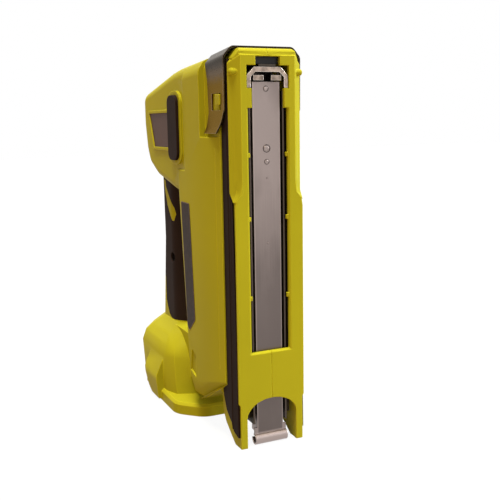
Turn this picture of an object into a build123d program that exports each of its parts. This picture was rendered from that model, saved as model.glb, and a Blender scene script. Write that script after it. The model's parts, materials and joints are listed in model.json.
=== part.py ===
"""Cordless crown stapler standing on its tail: nose up (+Z), work face to -Y, halves split at X = 0."""
import os
from math import acos, cos, pi, radians, sin, sqrt, tan
from build123d import *

# Driving dimensions in millimetres; Y counts from the work face and Z from the tail until export
DEPTH = 155.0
BASE_TOP = 230.5
BASE_HALF = 21.3
BASE_BACK = 18.5
LEG_HALF = 20.3
COLUMN_HALF = 27.0
COLUMN_BACK = 75.0
COLUMN_LEAN = 0.0934
COLUMN_TAIL = 72.6
HEAD_HALF = 25.8
CROWN_SLOPE = 1 / 15
CROWN_Z = 230.0
WALL = 2.4
SEAM = 0.15
ARCH_HALF = 16.2
ARCH_SPRING = 18.0
ARCH_RISE = 11.0
WINDOW_HALF = 12.4
WINDOW_Z = (57.5, 198.0)
RIB_Z = (90.0, 136.0, 172.0)
NECK_HALF = 10.2
RECESS_HALF = 13.15
RECESS_Z = (208.6, 221.2)
EXIT_HALF = 7.6
EXIT_TOP = 226.0
STRAP_HALF = 24.1
STRAP_BEND = 4.0
STRAP_THICK = 1.0
STRAP_TOP = 232.0
STRAP_SLOPE = 0.09
HANDLE_HALF = 19.2
HANDLE_FRONT = 105.7
HANDLE_BACK = [(154.6, 36.0), (144.4, 110.0), (145.4, 186.0)]
HANDLE_CORNER = 14.3
GRIP_THICK = 1.3
SOCKET_X = 25.0
SOCKET_Y = (112.5, 145.5)
SOCKET_TOP = 64.0
RAIL_HALF = 8.5
RAIL_Y = 3.0
ROLL_Z = 3.4
SHEET = 1.0
BLADE_Z = (220.6, 221.8)
BLADE_HALF = 5.2
SPRING_Z = 202.0
SEAT_BACK = 151.5
MOTOR_Y = 47.0
MODULE_1 = 0.8
MODULE_2 = 1.0
PINION_TEETH = 12
REDUCTION_TEETH = 40
LIFTER_TEETH = 36
SECTOR_TEETH = 24
BASE_BEVEL = [(17.9, -0.1), (22.0, -0.1), (22.0, 6.2)]
BASE_BEVEL_END = [(21.1, -0.1), (22.0, -0.1), (22.0, 0.2)]
BAND_BEVEL = [(17.5, -0.1), (23.5, -0.1), (23.5, 7.4)]
BAND_BEVEL_END = [(22.3, -0.1), (23.5, -0.1), (23.5, 1.4)]
SCREWS = [(118.7, 97.0, -14.5, 13.5), (33.0, 58.0, 19.0, 24.5), (70.5, 138.0, 19.0, 22.0),
          (145.0, 181.0, 19.0, 22.0), (92.0, 26.0, 24.0, 24.0)]

# Worked-out values
REDUCTION_Y = MOTOR_Y + MODULE_1 * (PINION_TEETH + REDUCTION_TEETH) / 2
LIFTER_Y = REDUCTION_Y + MODULE_2 * (PINION_TEETH + LIFTER_TEETH) / 2
SECTOR_R = MODULE_2 * SECTOR_TEETH / 2


# Plain building blocks
def block(x, y, z):
    size = [b - a for a, b in (x, y, z)]
    return Pos(*[(a + b) / 2 for a, b in (x, y, z)]) * Box(*size)


def pair(x, y, z):
    return block(x, y, z) + block((-x[1], -x[0]), y, z)


def prism_yz(points, half_width):
    face = make_face(Polyline(*[(0, y, z) for y, z in points], close=True))
    return extrude(face, amount=half_width, dir=(1, 0, 0), both=True)


def prism_xz(points, y, slope=0.0):
    face = make_face(Polyline(*[(px, y[0], pz) for px, pz in points], close=True))
    return extrude(face, amount=(y[1] - y[0]) * sqrt(1 + slope ** 2), dir=(0, 1, -slope))


def prism_xy(points, z):
    face = make_face(Polyline(*[(px, py, z[0]) for px, py in points], close=True))
    return extrude(face, amount=z[1] - z[0], dir=(0, 0, 1))


def mirrored(points):
    return points + [(-a, b) for a, b in reversed(points)]


def rod_z(radius, centre, z):
    return Pos(centre[0], centre[1], (z[0] + z[1]) / 2) * Cylinder(radius, z[1] - z[0])


def rod_x(radius, centre, x):
    return Pos((x[0] + x[1]) / 2, centre[0], centre[1]) * Rot(0, 90, 0) * Cylinder(radius, x[1] - x[0])


# Twelve-sided rod from a point along an axis, for small round pieces that repeat
def stud(origin, axis, radius, length, taper=0.0):
    outline = Plane(origin=origin, z_dir=axis) * RegularPolygon(radius, 12)
    return extrude(outline, amount=length, taper=taper)


def sleeve(origin, axis, outer, inner, length):
    return stud(origin, axis, outer, length) - stud(origin, axis, inner, length)


def rounded(shape, axis, radius, choose):
    return fillet(shape.edges().filter_by(axis).filter_by(choose), radius)


# Involute spur gear in its own plane; only the listed teeth stand above the root circle
def gear_points(module, teeth, turn, kept):
    pitch_r = module * teeth / 2
    root_r = pitch_r - 1.15 * module
    tip_r = pitch_r + 0.8 * module
    base_r = pitch_r * cos(radians(20))
    play = 0.06 * module / pitch_r

    def half_angle(r):
        slant = acos(min(1.0, base_r / max(r, base_r)))
        return pi / (2 * teeth) + tan(radians(20)) - radians(20) - tan(slant) + slant - play

    points = []
    for tooth in range(teeth):
        mid = turn + 2 * pi * tooth / teeth
        flank = [(root_r, -half_angle(root_r)), (tip_r, -half_angle(tip_r))]
        flank += [(r, -a) for r, a in reversed(flank)]
        if tooth not in kept:
            flank = [flank[0], flank[-1]]
        points += [(r * cos(mid + a), r * sin(mid + a)) for r, a in flank]
    return points


def gear(module, teeth, turn, centre, z, kept=None):
    points = gear_points(module, teeth, turn, range(teeth) if kept is None else kept)
    return prism_xy([(centre[0] + x, centre[1] + y) for x, y in points], z)


# Outer housing: base, column, head, handle and battery foot
def base_block():
    side = [(0, 0), (9, 0), (14, 3.2), (22.6, 9.3), (26.4, 14.5), (27.6, 26), (27.6, 37), (BASE_BACK, 46),
            (BASE_BACK, BASE_TOP - 1.6), (5, BASE_TOP), (0, BASE_TOP)]
    edge = [(LEG_HALF, -1), (LEG_HALF, 26.5), (BASE_HALF, 28), (BASE_HALF, 223.5), (16, BASE_TOP)]
    shape = prism_yz(side, 30) & prism_xz(mirrored(edge), (-1, 40))
    shape = fillet(shape.edges().filter_by(Axis.X).group_by(Axis.Y)[0].group_by(Axis.Z)[-1], 4.0)
    for side in (1, -1):
        shape = shape - bevel(side, BASE_BEVEL, BASE_BEVEL_END) + peg(side)
    return shape


def peg(side):
    return stud((side * 17.4, 3.9, 217.6), (side * 0.83, -0.55, 0), 2.8, 4.4, taper=14)


# Corner cut of the upper base, which runs out downwards
def bevel(side, wide, thin):
    faces = []
    for points, z in ((thin, 142), (wide, 158)):
        faces.append(make_face(Polyline(*[(side * x, y, z) for x, y in points], close=True)))
    return prism_xy([(side * x, y) for x, y in wide], (158, 240)) + loft(faces, ruled=True)


def crown(y):
    return CROWN_Z - CROWN_SLOPE * y


def column_block():
    front = prism_xy(mirrored([(23.0, 16.0), (COLUMN_HALF, 36.0), (COLUMN_HALF, COLUMN_BACK)]), (0, 240))
    front = rounded(front, Axis.Z, 10.5, lambda e: e.center().Y > 70)
    front = front & prism_yz([(15, 0), (100, 0), (100, crown(100)), (15, crown(15))], 40)
    top = front.faces().sort_by(Axis.Z)[-1]
    front = fillet(top.edges().filter_by(lambda e: abs(e.center().X) > 18 and e.center().Y > 37), 9.6)
    plan = [(x, y, 0) for x, y in mirrored([(COLUMN_HALF, 45), (COLUMN_HALF, COLUMN_TAIL)])]
    rear = make_face(Polyline(*plan, close=True))
    rear = extrude(rear, amount=161 * sqrt(1 + COLUMN_LEAN ** 2), dir=(0, COLUMN_LEAN, 1))
    back_edges = rear.edges().filter_by(lambda e: e.length > 160 and e.center().Y > 75)
    rear = fillet(back_edges, 10.5)
    shape = front + rear
    shape = shape & prism_yz([(15, 36), (50, 16), (56, 17), (73, 36), (100, 60), (100, 240), (15, 240)], 40)
    for side in (1, -1):
        shape -= column_facet(side) + column_notch(side)
    return shape


def column_facet(side):
    foot = 36 + 0.571 * 5
    points = [(side * 22, foot), (side * 28, foot), (side * 28, foot + 9.6)]
    return prism_xz(points, (10, 70), 0.571)


def column_notch(side):
    points = [(65.6, 31.3), (56.1, 28.7), (54.9, 43.1), (62.4, 45.7)]
    return side_plate(points, side, (COLUMN_HALF - 1, COLUMN_HALF + 1))


def head_block():
    side = [(30, crown(30)), (80, 224.8), (93, 223.2), (DEPTH, 211.5), (DEPTH, 190), (151, 172),
            (145, 161.5), (128.5, 153.8), (92, 146.3), (40, 146.3)]
    shape = prism_yz(side, HEAD_HALF)
    shape = rounded(shape, Axis.X, 8.0, lambda e: e.center().Y > 150 and e.center().Z > 200)
    shape = rounded(shape, Axis.X, 12.0, lambda e: e.center().Y > 78 and e.center().Z < 195)
    sides = shape.faces().filter_by(Axis.X)
    return fillet([e for f in sides for e in f.edges() if e.center().Y > 42], 7.0)


def handle_prism(inset):
    front = HANDLE_FRONT + inset
    back = [(y - inset, z) for y, z in HANDLE_BACK]
    return prism_yz([(front, back[-1][1]), (front, back[0][1])] + back, HANDLE_HALF - inset)


def handle_corners(shape):
    return shape.edges().filter_by(lambda e: abs(e.center().X) > 15 and abs(e.tangent_at(0).Z) > 0.5)


def handle_block():
    shape = handle_prism(0)
    return fillet(handle_corners(shape), HANDLE_CORNER)


def handle_core():
    shape = handle_prism(GRIP_THICK)
    return chamfer(handle_corners(shape), 0.58 * HANDLE_CORNER)


def foot_outline(z, near, far, half, front_r, back_r):
    cuts = [r * (1 - sqrt(0.5)) for r in (front_r, back_r)]
    front = [(half - front_r, near), (half - cuts[0], near + cuts[0]), (half, near + front_r)]
    back = [(half, far - back_r), (half - cuts[1], far - cuts[1]), (half - back_r, far)]
    return make_face(Polyline(*[(x, y, z) for x, y in mirrored(front + back)], close=True))


def latch_bulge(side):
    profile = [(101, 1.2), (117, 1.2), (123, 5), (127, 14), (128.5, 22), (128.5, 31), (101, 31)]
    taper = [(side * x, z) for x, z in ((29, 0), (38.4, 0), (40, 14), (40, 18), (34, 31), (29, 31))]
    return side_plate(profile, side, (30, 40)) & prism_xz(taper, (95, 130))


def foot_block():
    flange = prism_xy(mirrored([(21.5, 57), (36.5, 72), (36.5, 104), (33, 153)]), (0, 8.0))
    flange = rounded(flange, Axis.Z, 14.0, lambda e: e.center().Y < 80)
    flange = rounded(flange, Axis.Z, 9.0, lambda e: e.center().Y > 120)
    flange = chamfer(flange.faces().sort_by(Axis.Z)[-1].edges(), 1.6)
    stations = [(0, 80, 150, 33.5, 14, 14), (14, 82, 152.3, 34.8, 14, 8), (32, 84.5, 152.6, 34.7, 14, 4),
                (39, 88, 152.4, 32.5, 13, 5), (45, 94, 152, 27.5, 12, 9), (51, 101, 151.8, 19.4, 10, 13)]
    body = loft([foot_outline(*station) for station in stations], ruled=True)
    bridge = block((-21, 21), (62, 112), (20, 50))
    return flange + body + latch_bulge(1) + latch_bulge(-1) + bridge


def strap_recess():
    half = STRAP_HALF - STRAP_THICK - 0.1
    edge = [(half, 100), (half, 226), (18.5, STRAP_TOP - STRAP_THICK - 0.1)]
    core = prism_xz(mirrored(edge), (0, 45), STRAP_SLOPE)
    core = fillet(core.edges().filter_by(lambda e: e.length > 45 and e.center().Z > 200), STRAP_BEND)
    return block((-45, 45), (6.5, 38.0), (182, 245)) - core


def screw_bosses():
    bosses = []
    for y, z, _, reach in SCREWS:
        bosses.append(block((-reach, reach), (y - 4.4, y + 4.4), (z - 4.4, z + 4.4)))
    return bosses


def screw_holes():
    holes = []
    for y, z, head, _ in SCREWS:
        way = 1 if head > 0 else -1
        holes.append(stud((-way * 11, y, z), (way, 0, 0), 1.65, abs(head) + 11))
        holes.append(stud((head - way * 2.4, y, z), (way, 0, 0), 3.5, 45))
    return holes


def cavities():
    side = [(44.6, 222), (80, 221.6), (92, 219.6), (132, 212.2), (SEAT_BACK, 206.8), (SEAT_BACK, 191),
            (147.6, 173.5), (141, 165), (127, 159), (92, 149.3), (44.6, 149.3)]
    head = prism_yz(side, HEAD_HALF - WALL)
    head = chamfer(head.faces().filter_by(Axis.X).edges(), 4.0)
    blade_way = block((-8.4, 8.4), (44.6, 77.6), (215, BLADE_Z[1] + 0.3))
    column = block((-24, 24), (21.5, 72), (56, 158)) + block((-24, 24), (21.5, 66), (44, 176))
    column += block((-18, 18), (40, 74), (120, 196))
    magazine = block((-16.4, 16.4), (2.6, 16.6), (-2, 227.4))
    nose = block((-9.6, 9.6), (2.6, 46), (214, 226.3))
    handle = block((-13, 13), (113.5, 139), (SOCKET_TOP - 1, 80))
    handle += block((-12.5, 12.5), (113.5, 136), (79, 160)) + block((-8.5, 8.5), (113.5, 139), (112, 150))
    socket = block((-SOCKET_X / 2, SOCKET_X / 2), SOCKET_Y, (-2, SOCKET_TOP))
    trigger_slot = block((-6.6, 6.6), (100, 115), (116.4, 145.6))
    return [head, blade_way, column, magazine, nose, handle, socket, trigger_slot]


def front_openings():
    window = block((-WINDOW_HALF, WINDOW_HALF), (-2, 6), WINDOW_Z)
    neck = block((-NECK_HALF, NECK_HALF), (-2, 6), (WINDOW_Z[1] - 1, RECESS_Z[0] + 1))
    recess = block((-RECESS_HALF, RECESS_HALF), (-2, 6), RECESS_Z)
    exit_slot = block((-EXIT_HALF, EXIT_HALF), (-2, 6), (RECESS_Z[1] - 1, EXIT_TOP))
    ribs = [pair((WINDOW_HALF - 1.1, WINDOW_HALF + 0.2), (0.8, 2.6), (z - 1.2, z + 1.2)) for z in RIB_Z]
    for rib in ribs:
        window -= rib
    arch = Plane.XZ * Pos(0, ARCH_SPRING) * Ellipse(ARCH_HALF, ARCH_RISE)
    arch = extrude(arch, amount=27.7, dir=(0, 1, 0))
    arch += block((-ARCH_HALF, ARCH_HALF), (-2, 27.7), (-2, ARCH_SPRING))
    edge = prism_xy([(WINDOW_HALF, 0.8), (WINDOW_HALF, -0.1), (WINDOW_HALF + 0.9, -0.1)], WINDOW_Z)
    sill = prism_yz([(-0.1, WINDOW_Z[0] - 0.9), (-0.1, WINDOW_Z[0]), (0.8, WINDOW_Z[0])], WINDOW_HALF + 0.9)
    return [window, neck, recess, exit_slot, arch, edge, mirror(edge, Plane.YZ), sill]


def band_plan(depth):
    half = BASE_HALF
    return [(half - depth, 1.4), (half + 0.3, 1.4), (half + 0.7, 7.7), (half + 0.1, 8.5), (half + 0.7, 9.3),
            (half + 0.7, BASE_BACK - 0.3), (half - depth, BASE_BACK - 0.3)]


def band_side():
    return [(1.4, 6.8), (10.7, 10.4), (16.4, 13.9), (21.2, 17.9), (24.9, 25.7), (25.9, 31), (25.9, 36.8),
            (17.9, 44.6), (17.9, 224.8), (1.4, 224.8)]


def side_band(side):
    plan = [(side * x, y) for x, y in band_plan(1.2)]
    heel = sorted((side * (BASE_HALF - 1.2), side * (BASE_HALF + 0.7)))
    bar = prism_xy(plan, (0, 226)) + block(heel, (17, 26), (0, 60))
    shoulder = mirrored([(BASE_HALF + 0.7, -1), (BASE_HALF + 0.7, 223.9), (16.7, 230.9)])
    band = bar & prism_yz(band_side(), 40) & prism_xz(shoulder, (-1, 40))
    return band - bevel(side, BAND_BEVEL, BAND_BEVEL_END) - column_block() - peg(side)


def housing():
    shape = base_block() + column_block() + head_block() + handle_block() + foot_block()
    for cut in cavities() + front_openings():
        shape -= cut
    shape -= strap_recess()
    for boss in screw_bosses():
        shape += boss
    for cut in screw_holes():
        shape -= cut
    for side in (1, -1):
        shape += strap_catch(side) + bumper_rim(side)
        shape -= side_band(side)
    return shape - grip_shell()


def strap_catch(side):
    x = sorted((side * 22.4, side * 24.8))
    return block(x, (11.6, 18.0), (200.2, 206.0))


def badge_outline(inset):
    return [(95.4 + inset, 172.8 + inset), (129.4 - inset, 172.8 + inset), (138.7 - inset, 199.2 - inset),
            (95.4 + inset, 199.2 - inset)]


def side_plate(points, side, x):
    face = make_face(Polyline(*[(side * x[0], y, z) for y, z in points], close=True))
    return extrude(face, amount=x[1] - x[0], dir=(side, 0, 0))


def badge_frame(side):
    rim = side_plate(badge_outline(0), side, (HEAD_HALF, HEAD_HALF + 1.1))
    return rim - side_plate(badge_outline(1.8), side, (HEAD_HALF, HEAD_HALF + 1.1))


def badge(side):
    return side_plate(badge_outline(1.8), side, (HEAD_HALF, HEAD_HALF + 0.4))


def half_of(shape, side):
    x = (SEAM, 60) if side > 0 else (-60, -SEAM)
    return shape & block(x, (-5, 200), (-5, 260))


# Soft pads on the outside
def pad_block(side, grow, x):
    near, far = sorted((side * x[0], side * x[1]))
    pad = block((near, far), (77.4 - grow, 91 + grow), (167 - grow, 208 + grow))
    return rounded(pad, Axis.X, 5.0 + grow, lambda e: True)


def bumper(side):
    return pad_block(side, 0, (HEAD_HALF, HEAD_HALF + 3.4))


def bumper_rim(side):
    rim = pad_block(side, 2.6, (HEAD_HALF - 1.0, HEAD_HALF + 1.5))
    return rim - bumper(side)


def grip_shell():
    shell = handle_block() - handle_core() - head_block() - foot_block()
    cover = [(90, 52), (112, 52), (124.2, 51.2), (129.5, 53.6), (133, 58.2), (135.2, 63), (135.6, 80),
             (160, 92), (160, 170), (90, 170)]
    sliver = [(132, 151), (130, 143.7), (125.5, 133.4), (117.4, 123.3), (115.1, 123.2), (113, 128),
              (114.5, 132.3), (122.6, 140.7), (128.2, 146.5), (128.8, 151)]
    shell = (shell & prism_yz(cover, 40)) - prism_yz(sliver, 40)
    trigger_gap = block((-8.2, 8.2), (90, 115), (114, 170))
    screw_way = stud((0, *SCREWS[0][:2]), (-1, 0, 0), 3.5, 40)
    return shell - trigger_gap - screw_way


def grip(side):
    return half_of(grip_shell(), side)


# Nose: spring steel cover, guide plates and front keeper
def nose_cover():
    outer = [(26.6, 183.5), (STRAP_HALF, 190.5), (STRAP_HALF, 226.5), (19.2, STRAP_TOP)]
    inner = [(25.7, 183.2), (STRAP_HALF - STRAP_THICK, 190.3), (STRAP_HALF - STRAP_THICK, 226.1),
             (18.8, STRAP_TOP - STRAP_THICK)]
    ring = mirrored(outer) + [(-x, z) for x, z in inner] + [(x, z) for x, z in reversed(inner)]
    shape = prism_xz(ring, (7, 37.5), STRAP_SLOPE)
    for radius, low, high in ((STRAP_BEND, 220, 240), (12.0, 187, 192)):
        bends = [e for e in shape.edges() if 8 < e.center().Y < 36 and low < e.center().Z < high]
        shape = fillet(bends, radius)
    side = [(6.9, 240), (35, 240), (34, 224.5), (30.9, 214.7), (29.6, 196), (34.7, 184.2), (15.3, 184.2),
            (7.6, 197)]
    return (shape & prism_yz(side, 40)) - block((-40, 40), (11.0, 24.6), (197.2, 206.6))


def nose_front():
    return block((-9.4, 9.4), (2.8, 44.4), (BLADE_Z[1] + 0.2, 226.1))


def nose_rear():
    return block((-9.4, 9.4), (17.0, 44.4), (214.2, BLADE_Z[0] - 0.2))


def front_keeper():
    arch = [(8.2, 220.3), (12.6, 215.9), (12.6, 209.0), (10.3, 209.0), (10.3, 214.8), (7.4, 217.6)]
    frame = prism_xz(mirrored(arch), (0.6, 1.8))
    frame = rounded(frame, Axis.Y, 1.4, lambda e: e.center().Z > 215 and abs(e.center().X) > 7.9)
    hooks = pair((10.9, 15.6), (2.7, 3.4), (210.0, 213.0)) + pair((10.9, 12.5), (1.7, 3.4), (210.0, 213.0))
    tabs = pair((2.3, 8.6), (0.8, 1.8), (213.0, 215.8))
    stems = pair((6.4, 7.7), (1.5, 2.6), (213.4, 219.5))
    return frame + hooks + tabs + stems


# Magazine: fixed channel and track, sliding rail with its pusher
def magazine_channel():
    walls = pair((10.0, 10.0 + SHEET), (2.8, 15.9), (13, 207.5))
    web = block((-10.5, 10.5), (15.9 - SHEET, 15.9), (13, 207.5))
    flanges = pair((10.5, 15.6), (8.5, 9.5), (15, 205))
    return walls + web + flanges


def staple_track():
    top = BLADE_Z[0] - 0.3
    return pair((5.6, 6.4), (8.4, 14.8), (40, top)) + block((-6.0, 6.0), (14.0, 14.8), (40, top))


def staple_strip():
    top = BLADE_Z[0] - 0.2
    return pair((4.6, 5.3), (4.8, 13.8), (168.2, top)) + block((-5.0, 5.0), (13.0, 13.8), (168.2, top))


def magazine_rail():
    web = block((-RAIL_HALF, RAIL_HALF), (RAIL_Y, RAIL_Y + SHEET), (9, 212.4))
    tail = block((-10.4, 10.4), (RAIL_Y, RAIL_Y + SHEET), (ROLL_Z + 2.4, 10.5))
    flanges = pair((RAIL_HALF - SHEET, RAIL_HALF), (RAIL_Y + 0.5, 11.0), (7, 211.0))
    curl = rod_x(3.3, (RAIL_Y + 0.6, ROLL_Z), (-10.4, 10.4)) - rod_x(2.3, (RAIL_Y + 0.6, ROLL_Z), (-11, 11))
    curl -= block((-11, 11), (RAIL_Y + 1.6, RAIL_Y + 4.5), (ROLL_Z + 0.4, ROLL_Z + 4.8))
    return web + tail + flanges + curl


def tail_block():
    return block((-7.3, 7.3), (4.1, 12.6), (14, 30)) - guide_rod()


def guide_rod():
    return stud((0, 8.6, 22), (0, 0, 1), 1.5, 144)


def pusher():
    return block((-4.4, 4.4), (4.8, 12.8), (150, 168)) - stud((0, 8.6, 140), (0, 0, 1), 1.6, 40)


def pusher_spring():
    return sleeve((0, 8.6, 30), (0, 0, 1), 2.9, 1.7, 120)


# Drive: motor, gears, lifter, plunger and spring
def motor():
    return rod_z(18.0, (0, MOTOR_Y), (97, 161.9)) - rod_z(1.65, (0, MOTOR_Y), (138, 170))


def motor_pinion():
    teeth = gear(MODULE_1, PINION_TEETH, pi / 2, (0, MOTOR_Y), (169, 177))
    return teeth + rod_z(1.6, (0, MOTOR_Y), (140, 178))


def reduction_gear():
    centre = (0, REDUCTION_Y)
    wheel = gear(MODULE_1, REDUCTION_TEETH, -pi / 2 + pi / REDUCTION_TEETH, centre, (170, 176))
    small = gear(MODULE_2, PINION_TEETH, pi / 2, centre, (176, 187))
    return wheel + small + rod_z(2.0, centre, (162.2, 191))


def lifter_gear():
    centre = (0, LIFTER_Y)
    wheel = gear(MODULE_2, LIFTER_TEETH, -pi / 2 + pi / LIFTER_TEETH, centre, (179, 186))
    kept = [0] + list(range(SECTOR_TEETH - 6, SECTOR_TEETH))
    sector = gear(MODULE_2, SECTOR_TEETH, 0, centre, (186, 193), kept)
    return wheel + sector + rod_z(3.0, centre, (162.2, 186))


def bush(half, bore, y, z):
    return block((-half, half), (y - half, y + half), z) - rod_z(bore, (0, y), (z[0] - 1, z[1] + 1))


def gear_plate():
    plate = block((-22.4, 22.4), (24, 112), (162, 165)) - rod_z(4.0, (0, MOTOR_Y), (160, 170))
    for half, y in ((4.0, REDUCTION_Y), (5.5, LIFTER_Y)):
        plate -= block((-half, half), (y - half, y + half), (160, 170))
    return plate


def upper_plate():
    plate = block((-22.4, 9.5), (54, 77.5), (188.2, 190.6))
    plate -= block((-4, 4), (REDUCTION_Y - 4, REDUCTION_Y + 4), (180, 195))
    for y in (57, 75.5):
        plate += block((-22.2, -18.2), (y - 2, y + 2), (165, 189))
    return plate


def plunger():
    body = block((-11, 17), (52, 68), (194.6, 219)) + block((-8, 8), (52, 60), (219, BLADE_Z[1]))
    body -= block((-BLADE_HALF, BLADE_HALF), (51, 57), BLADE_Z)
    body -= block((11.5, 18), (51, 69), (201, 230))
    pitch = pi * MODULE_2
    half = pitch / 4 - 0.06
    points = [(17, 52), (13.15, 52)]
    for k in range(-7, 2):
        mid = LIFTER_Y + (k - 0.5) * pitch
        tooth = [(1.15, -half - 1.15 * tan(radians(20))), (-0.8, -half + 0.8 * tan(radians(20)))]
        tooth += [(d, -a) for d, a in reversed(tooth)]
        points += [(SECTOR_R + d, mid + a) for d, a in tooth]
    points += [(13.15, LIFTER_Y + 1.4 * pitch), (17, LIFTER_Y + 1.4 * pitch)]
    return body + prism_xy(points, (187, 196))


def driver_blade():
    return block((-BLADE_HALF, BLADE_HALF), (1.0, 57), BLADE_Z)


def stop_bumper():
    return block((-10, 10), (44.7, 51.9), (199, 213.5))


def drive_spring():
    return sleeve((0, 68, SPRING_Z), (0, 1, 0), 7.5, 5.5, 72)


def spring_seat():
    plate = block((-8, 8), (140, 144), (SPRING_Z - 8, SPRING_Z + 6.6))
    stem = block((-5, 5), (143, SEAT_BACK), (SPRING_Z - 5, SPRING_Z + 4))
    return plate + stem + stud((0, 128, SPRING_Z), (0, 1, 0), 5.2, 13)


# Controls and power
def trigger():
    shape = block((-6.2, 6.2), (98.5, 113.4), (117, 145)) - rod_x(34, (69.5, 130), (-10, 10))
    shape = rounded(shape, Axis.X, 1.5, lambda e: e.center().Y < 105)
    return shape + stud((0, 113, 130), (0, 1, 0), 2.5, 9.5)


def trigger_spring():
    return sleeve((0, 113.5, 130), (0, 1, 0), 4.2, 2.8, 7.4)


def trigger_switch():
    return block((-8.5, 8.5), (121, 139), (116, 147)) - stud((0, 120, 130), (0, 1, 0), 2.7, 10)


def control_board():
    board = block((-20, 20), (62, 63.6), (47, 92))
    return board + block((-14, 4), (57, 62), (60, 80)) + block((8, 16), (55, 62), (52, 66))


def terminal_block():
    return block((-13, 13), (115, 139), (SOCKET_TOP + 0.2, 74))


def battery_terminals():
    blades = [block((x - 0.4, x + 0.4), (122, 132), (46, SOCKET_TOP + 0.1)) for x in (-8, 0, 8)]
    return Compound(children=blades)


def housing_screws():
    screws = []
    for y, z, head, _ in SCREWS:
        way = 1 if head > 0 else -1
        shank = stud((-way * 10, y, z), (way, 0, 0), 1.6, abs(head) + 8.5)
        screws.append(shank + stud((head - way * 2.35, y, z), (way, 0, 0), 3.2, 2.35))
    return Compound(children=screws)


def parts():
    body = housing()
    for side in (1, -1):
        body = body + badge_frame(side)
    nodes = {"housing_right": half_of(body, -1), "housing_left": half_of(body, 1)}
    for name, side in (("right", -1), ("left", 1)):
        nodes["side_band_" + name] = side_band(side)
        nodes["bumper_" + name] = bumper(side)
        nodes["grip_" + name] = grip(side)
        nodes["badge_" + name] = badge(side)
    nodes.update(
        nose_cover=nose_cover(), nose_front=nose_front(), nose_rear=nose_rear(),
        front_keeper=front_keeper(), magazine_channel=magazine_channel(), staple_track=staple_track(),
        staple_strip=staple_strip(), magazine_rail=magazine_rail(), tail_block=tail_block(),
        guide_rod=guide_rod(), pusher=pusher(), pusher_spring=pusher_spring(),
        motor=motor(), motor_pinion=motor_pinion(), reduction_gear=reduction_gear(),
        lifter_gear=lifter_gear(), gear_plate=gear_plate(), upper_plate=upper_plate(),
        reduction_bush=bush(4.0, 2.05, REDUCTION_Y, (162, 166.5)),
        upper_bush=bush(4.0, 2.05, REDUCTION_Y, (188, 191)),
        lifter_bush=bush(5.5, 3.05, LIFTER_Y, (162, 175)),
        plunger=plunger(), driver_blade=driver_blade(), stop_bumper=stop_bumper(),
        drive_spring=drive_spring(), spring_seat=spring_seat(), trigger=trigger(),
        trigger_spring=trigger_spring(), trigger_switch=trigger_switch(), control_board=control_board(),
        terminal_block=terminal_block(), battery_terminals=battery_terminals(),
        housing_screws=housing_screws())
    return nodes


def main():
    os.makedirs("parts", exist_ok=True)
    for name, shape in parts().items():
        export_step(Pos(0, -DEPTH / 2, 0) * shape, f"parts/{name}.step")


if __name__ == "__main__":
    main()
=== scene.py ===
"""Dresses the cordless stapler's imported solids: finishes, small fittings, studio floor, lights and camera."""
import json
import math

import bmesh
import bpy
from mathutils import Matrix, Vector

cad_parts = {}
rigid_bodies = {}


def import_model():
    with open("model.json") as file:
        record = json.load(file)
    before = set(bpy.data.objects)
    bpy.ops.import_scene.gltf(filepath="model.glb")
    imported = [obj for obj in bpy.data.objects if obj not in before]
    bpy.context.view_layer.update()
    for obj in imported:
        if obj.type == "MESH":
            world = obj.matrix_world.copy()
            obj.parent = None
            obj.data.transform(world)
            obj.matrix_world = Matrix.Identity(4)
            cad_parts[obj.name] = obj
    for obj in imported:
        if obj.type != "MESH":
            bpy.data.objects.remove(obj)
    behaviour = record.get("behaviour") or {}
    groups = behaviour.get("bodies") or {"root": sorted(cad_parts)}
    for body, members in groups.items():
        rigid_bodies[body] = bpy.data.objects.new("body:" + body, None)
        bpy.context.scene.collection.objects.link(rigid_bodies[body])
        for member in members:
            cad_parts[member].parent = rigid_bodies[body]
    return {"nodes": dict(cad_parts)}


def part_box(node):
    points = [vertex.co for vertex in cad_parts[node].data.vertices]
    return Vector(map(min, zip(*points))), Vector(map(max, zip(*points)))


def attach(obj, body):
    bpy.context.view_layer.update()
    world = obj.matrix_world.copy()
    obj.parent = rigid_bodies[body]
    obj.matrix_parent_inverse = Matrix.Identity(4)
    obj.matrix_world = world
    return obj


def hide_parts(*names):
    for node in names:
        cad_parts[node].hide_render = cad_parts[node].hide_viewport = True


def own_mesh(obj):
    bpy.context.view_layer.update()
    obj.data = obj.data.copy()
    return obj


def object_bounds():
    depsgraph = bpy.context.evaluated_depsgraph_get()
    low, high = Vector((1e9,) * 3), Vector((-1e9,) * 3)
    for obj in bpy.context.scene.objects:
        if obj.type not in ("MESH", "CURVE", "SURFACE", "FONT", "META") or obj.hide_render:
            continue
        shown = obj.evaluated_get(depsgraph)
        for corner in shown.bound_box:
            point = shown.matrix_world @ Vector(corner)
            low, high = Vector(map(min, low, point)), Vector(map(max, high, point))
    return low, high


bl_info = {
    "name": "Cordless stapler dressing",
    "version": (1, 0, 0),
    "blender": (4, 5, 0),
    "location": "View3D > Sidebar > Stapler",
    "description": "Finishes and small fittings for a cordless stapler built on its packed solids",
    "category": "Object",
}

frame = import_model()
CAD_BOX = [list(corner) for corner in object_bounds()]
FACE_Y = CAD_BOX[0][1]
MM = 0.001

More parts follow.
